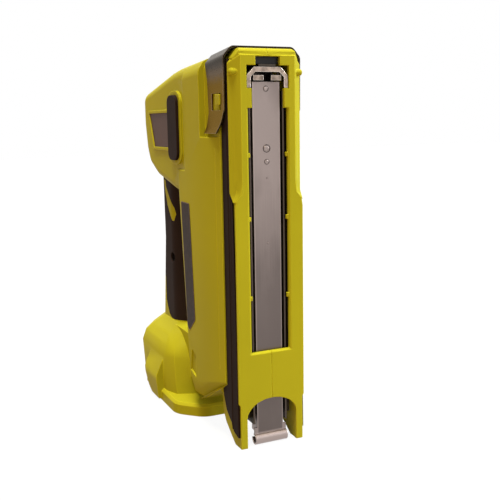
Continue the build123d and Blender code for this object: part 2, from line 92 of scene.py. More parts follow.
SHELL_NODES = ("housing_right", "housing_left")
BAND_NODES = ("side_band_right", "side_band_left")
PAD_NODES = ("bumper_right", "bumper_left")
RUBBER_NODES = ("grip_right", "grip_left", "stop_bumper")
BADGE_NODES = ("badge_right", "badge_left")
CHANNEL_NODES = ("magazine_channel", "staple_track")
NOSE_NODES = ("nose_front", "nose_rear")
TOOL_STEEL_NODES = ("guide_rod", "pusher", "gear_plate", "upper_plate", "plunger", "motor_pinion",
                    "reduction_gear", "lifter_gear")
MOULDED_NODES = ("trigger", "trigger_switch", "terminal_block", "tail_block", "spring_seat")
BRASS_NODES = ("reduction_bush", "upper_bush", "lifter_bush", "battery_terminals")

# Places and sizes from here to the camera are in millimetres: X from the split plane, Y from the work
# face and Z from the tail. Points of a copied solid that are this near each other are merged.
MERGE = 0.002

# Bevelled corner of the upper base: its outline across the tool, the heights of its top, how deep it
# reaches, how far the old surface is set behind it, its run-out at the lower end, and how near the work
# face a point counts as on it
CORNER = ((16.6, 0.0), (22.3, 4.9), (22.2, 5.8), (20.3, 5.8), (16.7, 2.4))
CORNER_TOP = (226.4, 222.3, 222.4, 224.6, 226.9)
CORNER_Z = 151.0
CORNER_DEPTH = 6.0
CORNER_SET = 0.05
RUN_OUT = ((21.2, 0.0), (21.95, 1.3), (21.9, 1.6), (20.3, 2.6), (20.2, 1.2))
RUN_OUT_Z = 146.0
ON_FACE = 0.02

# Pin that stands out of the corner: X and radius along it, and its axis in Y and Z
PIN = ((15.0, 1.9), (21.3, 1.9), (21.9, 1.75), (22.3, 1.4), (22.55, 0.8), (22.65, 0.05))
PIN_AXIS = (3.0, 217.6)
PIN_SIDES = 24

# Bumper with its rim: the room that holds both, the back edge that stays, and the stretch
PAD_SEAT = 25.75
PAD_Y = (74.7, 93.7)
PAD_Z = (164, 211)
PAD_BACK = 93.6
PAD_WIDER = 1.25

# Side band: its front edge at the run-out and behind the corner, and its lower end, drawn in to an X
BAND_FRONT = (1.4, 5.7)
BAND_FOOT_X = 20.6
BAND_FOOT_Y = 9.8
BAND_FOOT_Z = 30

# Joint of the shell halves in the foot: where it is, its reach from the split plane, and the hairline left
SEAM_Y = 100
SEAM_Z = 70
SEAM_REACH = 0.2
SEAM_HAIR = 0.003

# Blank film on the right side of the column: outline in Y and Z, its seat, corner radius and steps round it,
# and the border with its share of the film's colour
FILM_OUTLINE = ((74.0, 141.1), (59.1, 140.8), (54.2, 67.0), (65.1, 57.8), (68.7, 60.3))
FILM_X = -27.0
FILM_CORNER = 1.2
FILM_STEPS = 4
FILM_BORDER = 0.4
FILM_BORDER_LIT = 6.0

# Rivets on the rail's face: Z and radius of each; dome height, ring and its wire are shares of the radius
RIVETS = ((208.6, 1.15), (175.5, 1.6), (168.0, 1.1), (158.8, 0.35), (121.5, 0.35))
RIVET_Y = 2.98
RIVET_SHARES = {"Height": 0.18, "Ring": 1.3}
RIVET_WIRE = 0.16

# Housing screws: Y, Z and X of each head, which looks away from the split plane; how far shanks go past
# that plane, the middle of a shank of length 1, and the socket's ends and the share of its inner radius
GRIP_SCREW = (118.7, 97.0)
SCREWS = ((*GRIP_SCREW, -14.5), (33.0, 58.0, 19.0), (70.5, 138.0, 19.0), (145.0, 181.0, 19.0), (92.0, 26.0, 24.0))
SCREW_SIZES = {"Head radius": 3.2, "Head top": 2.75, "Head height": 2.35, "Shank radius": 1.6,
               "Socket radius": 1.75}
SHANK_PAST = 8.2
SHANK_MIDDLE = -0.5017
SOCKET_LOW, SOCKET_HIGH = -1.6, 1.0
SOCKET_INNER = 0.62

# Sleeve in the grip's screw well: X and radius round its section
SLEEVE = ((-14.3, 3.48), (-18.6, 3.48), (-18.6, 3.2), (-14.3, 3.2))
SLEEVE_SIDES = 32

# Coil springs: node, body, joint that squeezes it, fixed end, way, length, coil radius, wire radius, travel
SPRINGS = (
    ("drive_spring", "frame", "plunger_lift", (0, 140, 202), (0.0, -1.0, 0.0), 72, 6.5, 1.0, 16.8),
    ("pusher_spring", "rail", "pusher_slide", (0, 8.6, 30), (0.0, 0.0, 1.0), 120, 2.3, 0.55, 55.0),
    ("trigger_spring", "frame", "trigger_pull", (0, 120.9, 130), (0.0, -1.0, 0.0), 7.4, 3.5, 0.55, 6.0),
)
TRIGGER_TURNS = 3.0

# One staple's two legs and crown: middle in X and Y, width and depth; the wire fills a share of the pitch
STAPLE_BARS = ((-4.95, 4.5, 0.7, 9.0), (4.95, 4.5, 0.7, 9.0), (0.0, 8.6, 9.3, 0.8))
STAPLE_SHARE = 0.94

# Photographed view: the camera's place, its turn from the work face, tip down and roll in degrees
CAMERA_PLACE = (-188.9, -387.9, 190.3)
CAMERA_TURN, CAMERA_TIP, CAMERA_ROLL = 24.42, 9.53, -1.0
SENSOR_WIDTH = 36.0

# Soft suns: name, direction they shine from, strength, spread in degrees and colour
LIGHTS = (
    ("key_light", (0.1, -0.85, 0.5), 0.25, 30, (0.92, 1.0, 1.0)),
    ("left_light", (-0.5, -0.75, 0.43), 0.5, 35, (1.0, 0.84, 0.56)),
    ("top_light", (-0.14, -0.14, 0.98), 4.4, 20, (1.0, 0.92, 0.7)),
    ("right_light", (0.88, -0.2, 0.43), 5.2, 40, (0.97, 1.0, 1.0)),
    ("fill_light", (-0.85, -0.4, 0.3), 0.34, 50, (1.0, 0.42, 0.16)),
    ("rear_light", (0.1, 0.6, 0.79), 1.8, 60, (1.0, 1.0, 1.0)),
)

# Floor: half its width in metres, how clear it is to look through, its colour, and the colour it throws back
FLOOR_HALF = 4.0
FLOOR_CLEAR = 0.92
FLOOR_COLOUR = (0.8, 0.8, 0.8)
FLOOR_BOUNCE = (0.29, 0.21, 0.115)

# Stretch of brushed lines that are as fine one way as the other
EVEN = (900, 900, 900)


def at(x, y, z):
    """A place given in millimetres, Y counted from the work face and Z from the tail."""
    return Vector((x * MM, FACE_Y + y * MM, z * MM))


def measured(vert, side):
    """A point's place in millimetres, as for at(), with X counted outwards on its side."""
    return side * vert.co.x / MM, (vert.co.y - FACE_Y) / MM, vert.co.z / MM


def passed(value, start, end):
    """How much of the way from start to end a value has gone, from 0 to 1."""
    return min(1.0, max(0.0, (value - start) / (end - start)))


class Value:
    """A shader socket whose arithmetic adds Math nodes."""

    def __init__(self, tree, socket):
        self.tree = tree
        self.socket = socket

    def math(self, operation, *terms):
        node = self.tree.node("ShaderNodeMath", {"operation": operation}, dict(enumerate(terms)))
        return Value(self.tree, node.outputs[0])

    def __add__(self, other):
        return self.math("ADD", self, other)

    def __radd__(self, other):
        return self.math("ADD", other, self)

    def __sub__(self, other):
        return self.math("SUBTRACT", self, other)

    def __rsub__(self, other):
        return self.math("SUBTRACT", other, self)

    def __mul__(self, other):
        return self.math("MULTIPLY", self, other)

    def __rmul__(self, other):
        return self.math("MULTIPLY", other, self)

    def __truediv__(self, other):
        return self.math("DIVIDE", self, other)

    def __rtruediv__(self, other):
        return self.math("DIVIDE", other, self)

    def __abs__(self):
        return self.math("ABSOLUTE", self)


class Tree:
    """A node tree and the one way to add a node to it."""

    def node(self, kind, settings=None, inputs=None):
        made = self.tree.nodes.new(kind)
        for name, value in (settings or {}).items():
            if name == "stops":
                self.set_stops(made.color_ramp, value)
            else:
                setattr(made, name, value)
        for key, value in (inputs or {}).items():
            self.feed(made.inputs[key], value)
        return made

    def set_stops(self, ramp, stops):
        while len(ramp.elements) < len(stops):
            ramp.elements.new(0.5)
        for element, (position, colour) in zip(ramp.elements, stops):
            element.position = position
            element.color = (*colour, 1.0)

    def feed(self, socket, value):
        if isinstance(value, Value):
            value = value.socket
        if isinstance(value, bpy.types.NodeSocket):
            self.tree.links.new(value, socket)
        else:
            socket.default_value = value

    def seen_directly(self):
        """1 for camera, glossy and transmission rays, else 0."""
        path = self.node("ShaderNodeLightPath")
        camera, glossy, through = (
            Value(self, path.outputs[f"Is {kind} Ray"]) for kind in ("Camera", "Glossy", "Transmission"))
        return camera + glossy + through


class Finish(Tree):
    """One procedural material on Object coordinates, in metres."""

    EDGE_START, EDGE_WIDTH = 0.012, 0.2

    def __init__(self, name, **constants):
        self.material = bpy.data.materials.new(name)
        self.material.use_nodes = True
        self.tree = self.material.node_tree
        self.tree.nodes.clear()
        self.shader = self.node("ShaderNodeBsdfPrincipled")
        self.output = self.node("ShaderNodeOutputMaterial", {}, {0: self.shader.outputs[0]})
        for socket, value in constants.items():
            self.shader.inputs[socket.replace("_", " ")].default_value = value
        self.place = self.node("ShaderNodeTexCoord").outputs["Object"]

    def part(self, axis):
        """One coordinate of the object, in metres."""
        return Value(self, self.node("ShaderNodeSeparateXYZ", {}, {0: self.place}).outputs[axis])

    def over(self, value, start, width):
        """0 up to start, then rising to 1 over the width."""
        made = self.node("ShaderNodeMapRange", {}, {0: value, 1: start, 2: start + width})
        return Value(self, made.outputs[0])

    def noise(self, scale, detail=2.0, stretch=(1.0, 1.0, 1.0)):
        place = self.node("ShaderNodeMapping", {}, {"Vector": self.place, "Scale": stretch}).outputs[0]
        made = self.node("ShaderNodeTexNoise", {}, {"Vector": place, "Scale": scale, "Detail": detail})
        return Value(self, made.outputs["Fac"])

    def drawn(self, stretch):
        """Drawn lines, and a tint of these lines and broad clouds."""
        lines = self.noise(scale=1.0, detail=4.0, stretch=stretch)
        broad = self.noise(scale=35.0, detail=3.0)
        return lines, 0.5 * lines + 0.3 * broad + 0.1

    def ramp(self, value, stops):
        return self.node("ShaderNodeValToRGB", {"stops": stops}, {0: value}).outputs["Color"]

    def mix(self, factor, tone, colour):
        """The tone, with a plain colour over it where the factor is 1."""
        made = self.node("ShaderNodeMix", {"data_type": "RGBA"}, {0: factor, 6: tone, 7: (*colour, 1.0)})
        return made.outputs[2]

    def rounded(self, radius):
        """The normal rounded over the edges, and how near an edge a point is, from 0 to 1."""
        soft = self.node("ShaderNodeBevel", {"samples": 6}, {"Radius": radius}).outputs[0]
        plain = self.node("ShaderNodeNewGeometry").outputs["Normal"]
        along = self.node("ShaderNodeVectorMath", {"operation": "DOT_PRODUCT"}, {0: soft, 1: plain})
        turned = 1.0 - Value(self, along.outputs["Value"])
        return soft, self.over(turned, self.EDGE_START, self.EDGE_WIDTH)

    def bump(self, height, normal, distance, strength):
        made = self.node("ShaderNodeBump", {}, {"Height": height, "Distance": distance, "Strength": strength,
                                                "Normal": normal})
        return made.outputs[0]

    def drive(self, **links):
        for socket, value in links.items():
            self.feed(self.shader.inputs[socket.replace("_", " ")], value)
        return self.material


def lit(colour, share):
    """The colour made darker or lighter."""
    return [min(1.0, c * share) for c in colour]


def shades(colour, low, high):
    """Two stops of one colour, darker and lighter."""
    return [(0.3, lit(colour, low)), (0.7, lit(colour, high))]


def shell_finish(look):
    """Moulded plastic with a fine grain and painted highlights on its edges."""
    finish = Finish("shell_yellow", Specular_IOR_Level=0.02)
    normal, edge = finish.rounded(radius=0.7 * MM)
    broad = finish.noise(scale=16.0, detail=3.0)
    grain = finish.noise(scale=2400.0)
    tone = finish.ramp(0.75 * broad + 0.25 * grain, shades(look.shell, 0.93, 1.06))
    # Painted highlight: the edges are lightened towards a paler yellow
    tone = finish.mix(edge, tone, lit(look.shell, 1.9))
    return finish.drive(Base_Color=tone, Roughness=0.36 + 0.14 * broad,
                        Normal=finish.bump(grain, normal, distance=0.06 * MM, strength=0.4))


def rubber_finish(look):
    """Soft matt rubber with a coarser grain and painted highlights on its edges."""
    finish = Finish("rubber_dark", Specular_IOR_Level=0.025)
    normal, edge = finish.rounded(radius=0.6 * MM)
    broad = finish.noise(scale=30.0, detail=3.0)
    grain = finish.noise(scale=1500.0, detail=3.0)
    tone = finish.ramp(0.6 * broad + 0.4 * grain, shades(look.rubber, 0.75, 1.25))
    # Painted highlight: the edges are lightened
    tone = finish.mix(0.7 * edge, tone, lit(look.rubber, 2.6))
    return finish.drive(Base_Color=tone, Roughness=0.5 + 0.2 * grain,
                        Normal=finish.bump(grain, normal, distance=0.1 * MM, strength=0.5))


def film_finish(name, colour):
    """Thin mottled film."""
    finish = Finish(name, Specular_IOR_Level=0.03)
    normal, _ = finish.rounded(radius=0.3 * MM)
    mottle = finish.noise(scale=420.0, detail=4.0)
    tone = finish.ramp(mottle, shades(colour, 0.6, 1.5))
    return finish.drive(Base_Color=tone, Roughness=0.34 + 0.2 * mottle,
                        Normal=finish.bump(mottle, normal, distance=0.04 * MM, strength=0.3))


def badge_finish(look):
    """Plain plate with a fine grain."""
    finish = Finish("badge_plain", Specular_IOR_Level=0.04)
    normal, _ = finish.rounded(radius=0.5 * MM)
    broad = finish.noise(scale=60.0)
    grain = finish.noise(scale=1800.0)
    tone = finish.ramp(0.7 * broad + 0.3 * grain, shades(look.badge, 0.88, 1.12))
    return finish.drive(Base_Color=tone, Roughness=0.38 + 0.12 * broad,
                        Normal=finish.bump(grain, normal, distance=0.04 * MM, strength=0.3))


def painted_finish(name, colour, rough, specular=0.3):
    """Paint, coating or dark plastic with painted highlights on its edges."""
    finish = Finish(name, Specular_IOR_Level=specular)
    normal, edge = finish.rounded(radius=0.4 * MM)
    broad = finish.noise(scale=80.0, detail=3.0)
    grain = finish.noise(scale=1800.0)
    tone = finish.ramp(0.6 * broad + 0.4 * grain, shades(colour, 0.8, 1.2))
    # Painted highlight: the edges are lightened
    tone = finish.mix(0.6 * edge, tone, lit(colour, 2.2))
    return finish.drive(Base_Color=tone, Roughness=rough + 0.1 * broad,
                        Normal=finish.bump(grain, normal, distance=0.05 * MM, strength=0.3))


def end_drawn(finish, lines, tone, edge_highlight, rough):
    """Ends a drawn metal: a painted highlight on its edges, and the lines in its sheen and surface."""
    normal, edge = finish.rounded(radius=0.4 * MM)
    # The edges are mixed towards a painted highlight colour
    return finish.drive(Base_Color=finish.mix(0.6 * edge, tone, edge_highlight), Roughness=rough + 0.14 * lines,
                        Normal=finish.bump(lines, normal, distance=0.03 * MM, strength=0.3))


def brushed_finish(name, stops, rough, stretch=EVEN):
    """Metal with drawn lines and painted highlights on its edges."""
    finish = Finish(name, Metallic=1.0)
    lines, tint = finish.drawn(stretch)
    # A paler copy of the lightest stop is the painted edge highlight
    return end_drawn(finish, lines, finish.ramp(tint, stops), lit(stops[-1][1], 1.7), rough)


def strap_finish(look):
    """Spring steel that goes from golden to a dull dark grey up to the bend at its top; this darkening is painted
    shade.
    """
    finish = Finish("strap_spring_steel", Specular_IOR_Level=0.08, Specular_Tint=(0.85, 0.7, 0.5, 1.0))
    lines, tint = finish.drawn((60, 900, 1800))
    height = finish.part("Z")
    grey = (0.095, 0.079, 0.072)
    # Painted shade: the colour darkens to a dull grey towards the top bend
    stops = [(0.2, look.strap), (0.42, lit(look.strap, 0.9)), (0.56, grey), (0.64, lit(grey, 0.2))]
    tone = finish.ramp(0.45 * tint + 20.0 * (height - 200 * MM) - 0.03, stops)
    finish.drive(Metallic=1.0 - 0.85 * finish.over(height, start=213 * MM, width=8 * MM))
    # The edges carry a painted highlight colour
    return end_drawn(finish, lines, tone, edge_highlight=(0.42, 0.34, 0.26), rough=0.22)


def rail_finish(look):
    """Steel brushed lengthwise with dark blotches, darker low down as painted shade, with painted highlights on
    its folded edges and its roll.
    """
    finish = Finish("rail_brushed", Metallic=1.0)
    normal, _ = finish.rounded(radius=0.4 * MM)
    lines = finish.noise(scale=1.0, detail=4.0, stretch=(2600, 2600, 30))
    marks = finish.noise(scale=55.0, detail=5.0, stretch=(1.0, 1.0, 0.45))
    height = finish.part("Z")
    # Painted shade: the steel darkens towards the bottom
    climb = 3.4 * (height - 20 * MM) + 0.12 * lines + 0.22 * marks
    tone = finish.ramp(climb, [(0.17, lit(look.rail, 0.42)), (0.42, lit(look.rail, 0.5)), (0.64, look.rail)])
    tone = finish.mix(0.5 * finish.over(marks, start=0.5, width=0.25), tone, lit(look.rail, 0.55))
    # Painted highlight along the folded edges
    fold_highlight = finish.over(abs(finish.part("X")), start=7.7 * MM, width=0.5 * MM)
    tone = finish.mix(0.3 * fold_highlight, tone, lit(look.rail, 1.9))
    # Painted highlight on the roll at the bottom end
    roll = 1.0 - finish.over(height, start=6.4 * MM, width=1.4 * MM)
    tone = finish.mix(roll, tone, lit(look.rail, 1.15))
    return finish.drive(Base_Color=tone, Roughness=0.24 + 0.12 * lines + 0.1 * marks,
                        Normal=finish.bump(lines, normal, distance=0.03 * MM, strength=0.3))


def plated_finish(look):
    """Plating with painted reflections in broad blotches, painted highlights where it stands proud and painted
    shade in the recess.
    """
    finish = Finish("plated_bright", Metallic=1.0)
    normal, edge = finish.rounded(radius=0.5 * MM)
    broad = finish.noise(scale=260.0, detail=3.0)
    # Broad light and dark blotches are painted reflections
    tone = finish.ramp(broad, shades(look.plated, 0.45, 1.5))
    # Painted highlight on the proud edges
    tone = finish.mix(edge, tone, (0.95, 0.88, 0.82))
    # Painted shade: the recess is darkened almost to black
    recess_shade = finish.over(finish.part("Y"), start=FACE_Y + 0.65 * MM, width=0.6 * MM)
    tone = finish.mix(recess_shade, tone, lit(look.plated, 0.05))
    return finish.drive(Base_Color=tone, Roughness=0.16 + 0.14 * broad, Normal=normal)


class Recipe(Tree):
    """A Geometry Nodes tree with named sizes, which grows a plain mesh from marked points."""

    def __init__(self, name, *sizes):
        self.tree = bpy.data.node_groups.new(name, "GeometryNodeTree")
        sockets = self.tree.interface
        sockets.new_socket("Points", in_out="INPUT", socket_type="NodeSocketGeometry")
        sockets.new_socket("Shape", in_out="OUTPUT", socket_type="NodeSocketGeometry")
        self.ids = {}
        for size in sizes:
            made = sockets.new_socket(size, in_out="INPUT", socket_type="NodeSocketFloat")
            self.ids[size] = made.identifier
        self.given = self.node("NodeGroupInput").outputs

    def mark(self, name, kind):
        return self.node("GeometryNodeInputNamedAttribute", {"data_type": kind}, {"Name": name}).outputs[0]

    def vector(self, **axes):
        return self.node("ShaderNodeCombineXYZ", {}, axes).outputs[0]

    def along(self, name):
        """The turn that points Z along a marked direction."""
        way = self.mark(name, "FLOAT_VECTOR")
        return self.node("FunctionNodeAlignRotationToVector", {"axis": "Z"}, {"Vector": way}).outputs[0]

    def moved(self, shape, **changes):
        return self.node("GeometryNodeTransform", {}, {"Geometry": shape, **changes}).outputs[0]

    def joined(self, *shapes):
        made = self.node("GeometryNodeJoinGeometry")
        for shape in shapes:
            self.feed(made.inputs[0], shape)
        return made.outputs[0]

    def swept(self, path, section, **ends):
        """The section drawn along the path."""
        return self.node("GeometryNodeCurveToMesh", {}, {
            "Curve": path.outputs[0], "Profile Curve": section.outputs[0], **ends}).outputs[0]

    def smooth(self, shape):
        return self.node("GeometryNodeSetShadeSmooth", {}, {"Geometry": shape}).outputs[0]

    def on_points(self, shape, **inputs):
        placed = self.node("GeometryNodeInstanceOnPoints", {},
                           {"Points": inputs.pop("Points", self.given["Points"]), "Instance": shape, **inputs})
        return placed.outputs[0]

    def marked(self, shape, name):
        """The shape with its faces marked by name."""
        return self.node("GeometryNodeStoreNamedAttribute", {"data_type": "BOOLEAN", "domain": "FACE"},
                         {"Geometry": shape, "Name": name, "Value": True}).outputs[0]

    def close(self, shape, material, **others):
        """Ends the tree; marked faces get other finishes."""
        made = self.node("GeometryNodeRealizeInstances", {}, {0: shape}).outputs[0]
        made = self.node("GeometryNodeSetMaterial", {}, {"Geometry": made, "Material": material}).outputs[0]
        for name, other in others.items():
            made = self.node("GeometryNodeSetMaterial", {}, {
                "Geometry": made, "Selection": self.mark(name, "BOOLEAN"), "Material": other}).outputs[0]
        self.node("NodeGroupOutput", {}, {0: made})
        return self

    def grow(self, name, places, sizes, **marks):
        """The piece grown from places, each with its marks."""
        seed = bpy.data.meshes.new(name + "_seed")
        seed.from_pydata(places, [], [])
        for mark, values in marks.items():
            kind, field = ("FLOAT_VECTOR", "vector") if isinstance(values[0], tuple) else ("FLOAT", "value")
            layer = seed.attributes.new(mark, kind, "POINT")
            for item, value in zip(layer.data, values):
                setattr(item, field, value)
        holder = add_piece(name + "_seed", seed)
        modifier = holder.modifiers.new("shape", "NODES")
        modifier.node_group = self.tree
        for size, value in sizes.items():
            modifier[self.ids[size]] = value
        mesh = modified_mesh(holder)
        bpy.data.objects.remove(holder)
        bpy.data.meshes.remove(seed)
        return add_piece(name, mesh)


def add_piece(name, mesh):
    """A new object in the scene."""
    piece = bpy.data.objects.new(name, mesh)
    bpy.context.scene.collection.objects.link(piece)
    return piece


def modified_mesh(piece):
    """A new mesh of the piece as its modifiers leave it."""
    graph = bpy.context.evaluated_depsgraph_get()
    return bpy.data.meshes.new_from_object(piece.evaluated_get(graph), depsgraph=graph)


def built_mesh(mesh, name):
    """Turns an edit mesh into a named one."""
    data = bpy.data.meshes.new(name)
    mesh.to_mesh(data)
    mesh.free()
    return data


def circle(mesh, x, radius, axis, sides):
    """New points on a circle round an axis along X."""
    turns = [2 * math.pi * step / sides for step in range(sides)]
    return [mesh.verts.new(at(x, axis[0] + radius * math.cos(a), axis[1] + radius * math.sin(a))) for a in turns]


def skin(mesh, loops):
    """New faces from each loop of points to the next."""
    return [mesh.faces.new(corners) for low, high in zip(loops, loops[1:])
            for corners in zip(low, low[1:] + low[:1], high[1:] + high[:1], high)]


def round_corners(outline, radius, steps):
    """The outline with an arc at each corner, which starts and ends a radius away from it."""
    corners = [Vector(corner) for corner in outline]
    made = []
    for before, corner, after in zip(corners[-1:] + corners, corners, corners[1:] + corners[:1]):
        start, end = (radius * (other - corner).normalized() for other in (before, after))
        for step in range(steps + 1):
            turn = math.pi / 2 * step / steps
            made.append(corner + (1 - math.sin(turn)) * start + (1 - math.cos(turn)) * end)
    return made


def draw_in(outline, distance):
    """The outline with its points moved inwards; it runs anticlockwise."""
    made = []
    for before, point, after in zip(outline[-1:] + outline, outline, outline[1:] + outline[:1]):
        inward = (point - before).normalized().orthogonal() + (after - point).normalized().orthogonal()
        made.append(point + distance * inward.normalized())
    return made


def cut_corner(mesh, side):
    """Brings what stands proud of the bevelled corner back to it."""
    for vert in mesh.verts:
        x, y, z = measured(vert, side)
        low = passed(z, CORNER_Z, RUN_OUT_Z)
        start, end = (Vector(top).lerp(Vector(foot), low) for top, foot in zip(CORNER[:2], RUN_OUT))
        if low == 1.0 or x < start.x or y > CORNER_DEPTH:
            continue
        run = (end - start).normalized()
        proud = run.y * (x - start.x) - run.x * y + CORNER_SET
        if y < ON_FACE:
            vert.co = at(side * start.x, 0.0, z)
        elif proud > 0:
            vert.co = at(side * (x - proud * run.y), y + proud * run.x, z)


def add_corner(mesh, side):
    """Adds the bevelled corner, which runs out downwards, and the pin that stands out of it."""
    levels = ((RUN_OUT, [RUN_OUT_Z] * len(RUN_OUT)), (CORNER, [CORNER_Z] * len(CORNER)), (CORNER, CORNER_TOP))
    corner = [[mesh.verts.new(at(side * x, y, z)) for (x, y), z in zip(outline, heights)]
              for outline, heights in levels]
    pin = [circle(mesh, side * x, radius, PIN_AXIS, PIN_SIDES) for x, radius in PIN]
    made = []
    for loops in (corner, pin):
        made += [mesh.faces.new(loops[0]), mesh.faces.new(loops[-1]), *skin(mesh, loops)]
    bmesh.ops.recalc_face_normals(mesh, faces=made)


def widen_pad(mesh, side):
    """Stretches the bumper and its rim towards the work face."""
    for vert in mesh.verts:
        x, y, z = measured(vert, side)
        if x > PAD_SEAT and PAD_Y[0] < y < PAD_Y[1] and PAD_Z[0] < z < PAD_Z[1]:
            vert.co.y = FACE_Y + (PAD_BACK - PAD_WIDER * (PAD_BACK - y)) * MM


def close_seam(mesh, side):
    """Closes the joint in the foot's walls to a hairline, so that no light comes through the socket."""
    for vert in mesh.verts:
        x, y, z = measured(vert, side)
        if abs(x) < SEAM_REACH and y > SEAM_Y and z < SEAM_Z:
            vert.co.x = side * SEAM_HAIR * MM


def shape_shell(mesh, side):
    """Makes the changes to a shell half: bumper rim, joint in the foot and bevelled corner."""
    widen_pad(mesh, side)
    close_seam(mesh, side)
    cut_corner(mesh, side)
    add_corner(mesh, side)


def trim_band(mesh, side):
    """Draws the band back behind the bevelled corner, and in to the lip round its lower end."""
    low_front, high_front = BAND_FRONT
    for vert in mesh.verts:
        x, y, z = measured(vert, side)
        climb = passed(z, RUN_OUT_Z, CORNER_Z)
        if climb > 0:
            vert.co.y = max(vert.co.y, FACE_Y + (low_front + (high_front - low_front) * climb) * MM)
        elif z < BAND_FOOT_Z and y > BAND_FOOT_Y and x > BAND_FOOT_X:
            vert.co.x = side * BAND_FOOT_X * MM


def smooth_copy(node, material, crease, change):
    """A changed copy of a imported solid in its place, smooth where its faces meet at less than the crease."""
    mesh = bmesh.new()
    mesh.from_mesh(frame["nodes"][node].data)
    bmesh.ops.remove_doubles(mesh, verts=mesh.verts, dist=MERGE * MM)
    change(mesh, -1 if node.endswith("right") else 1)
    data = built_mesh(mesh, node + "_smooth")
    if "custom_normal" in data.attributes:
        data.attributes.remove(data.attributes["custom_normal"])
    data.shade_smooth()
    data.set_sharp_from_angle(angle=crease)
    data.materials.append(material)
    piece = add_piece(node + "_smooth", data)
    weights = piece.modifiers.new("weights", "WEIGHTED_NORMAL")
    weights.keep_sharp = True
    piece.data = modified_mesh(piece)
    piece.modifiers.clear()
    return piece


def fit(piece, body, slot, *nodes):
    """Puts a piece on its body, in place of the nodes it replaces; the slot is not used."""
    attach(piece, body)
    if nodes:
        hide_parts(*nodes)


def reshape(nodes, material, slot, crease, change):
    """Shows nodes of the frame as changed smooth copies."""
    for node in nodes:
        fit(smooth_copy(node, material, crease, change), "frame", slot, node)


def paint(nodes, material):
    """Gives nodes of the frame one finish."""
    for name in nodes:
        node = frame["nodes"][name]
        node.data.materials.clear()
        node.data.materials.append(material)


def coil_recipe(material):
    """A coil of round wire along a marked direction."""
    recipe = Recipe("coil_spring", "Turns", "Radius", "Wire", "Length")
    given = recipe.given
    line = recipe.node("GeometryNodeCurveSpiral", {}, {
        "Resolution": 24, "Rotations": given["Turns"], "Start Radius": given["Radius"],
        "End Radius": given["Radius"], "Height": given["Length"]})
    section = recipe.node("GeometryNodeCurvePrimitiveCircle", {}, {"Resolution": 10, "Radius": given["Wire"]})
    wire = recipe.smooth(recipe.swept(line, section, **{"Fill Caps": True}))
    return recipe.close(recipe.on_points(wire, Rotation=recipe.along("way")), material)


def screw_recipe(material):
    """Tapered heads with a six-lobed socket, and their shanks; a mark gives each shank's length."""
    recipe = Recipe("housing_screw", *SCREW_SIZES)
    given = recipe.given
    head = recipe.node("GeometryNodeMeshCone", {}, {
        "Vertices": 40, "Radius Top": given["Head top"], "Radius Bottom": given["Head radius"],
        "Depth": given["Head height"]})
    sunk = recipe.vector(Z=-1.0 * Value(recipe, given["Head height"]))
    head = recipe.moved(head.outputs["Mesh"], Translation=sunk)
    lobes = recipe.node("GeometryNodeCurveStar", {}, {
        "Points": 6, "Inner Radius": SOCKET_INNER * Value(recipe, given["Socket radius"]),
        "Outer Radius": given["Socket radius"]})
    depth = recipe.node("GeometryNodeCurvePrimitiveLine", {}, {
        "Start": (0, 0, SOCKET_LOW * MM), "End": (0, 0, SOCKET_HIGH * MM)})
    head = recipe.node("GeometryNodeMeshBoolean", {"operation": "DIFFERENCE", "solver": "EXACT"}, {
        "Mesh 1": head, "Mesh 2": recipe.swept(depth, lobes, **{"Fill Caps": True})})
    shank = recipe.node("GeometryNodeMeshCylinder", {}, {
        "Vertices": 24, "Radius": given["Shank radius"], "Depth": 1.0})
    shank = recipe.moved(shank.outputs["Mesh"], Translation=(0, 0, SHANK_MIDDLE))
    way = recipe.along("way")
    length = recipe.vector(X=1.0, Y=1.0, Z=recipe.mark("reach", "FLOAT"))
    heads = recipe.on_points(head.outputs[0], Rotation=way)
    shanks = recipe.on_points(shank, Rotation=way, Scale=length)
    return recipe.close(recipe.joined(heads, shanks), material)


def rivet_recipe(material, ring_shade):
    """Low domes, each in a thin pressed ring darkened as painted shade; a mark gives each radius."""
    recipe = Recipe("rail_rivet", *RIVET_SHARES)
    given = recipe.given
    dome = recipe.node("GeometryNodeMeshUVSphere", {}, {"Segments": 24, "Rings": 12, "Radius": 1.0})
    dome = recipe.moved(dome.outputs["Mesh"], Scale=recipe.vector(X=1.0, Y=1.0, Z=given["Height"]))
    path = recipe.node("GeometryNodeCurvePrimitiveCircle", {}, {"Resolution": 40, "Radius": given["Ring"]})
    section = recipe.node("GeometryNodeCurvePrimitiveCircle", {}, {"Resolution": 8, "Radius": RIVET_WIRE})
    ring = recipe.marked(recipe.swept(path, section), "pressed")
    placed = recipe.on_points(recipe.smooth(recipe.joined(dome, ring)), Rotation=recipe.along("way"),
                              Scale=recipe.mark("radius", "FLOAT"))
    return recipe.close(placed, material, pressed=ring_shade)


def staple_recipe(material):
    """A row of wire staples, legs forward, one behind the other."""
    recipe = Recipe("staple_row", "Count", "Pitch", "Wire")
    given = recipe.given
    step = recipe.vector(Z=given["Pitch"])
    row = recipe.node("GeometryNodeMeshLine", {}, {"Count": given["Count"], "Offset": step}).outputs[0]
    bars = []
    for x, y, wide, deep in STAPLE_BARS:
        size = recipe.vector(X=wide * MM, Y=deep * MM, Z=given["Wire"])
        bar = recipe.node("GeometryNodeMeshCube", {}, {"Size": size}).outputs["Mesh"]
        bars.append(recipe.moved(bar, Translation=(x * MM, y * MM, 0.0)))
    staples = recipe.on_points(recipe.joined(*bars), Points=row)
    return recipe.close(recipe.on_points(staples), material)


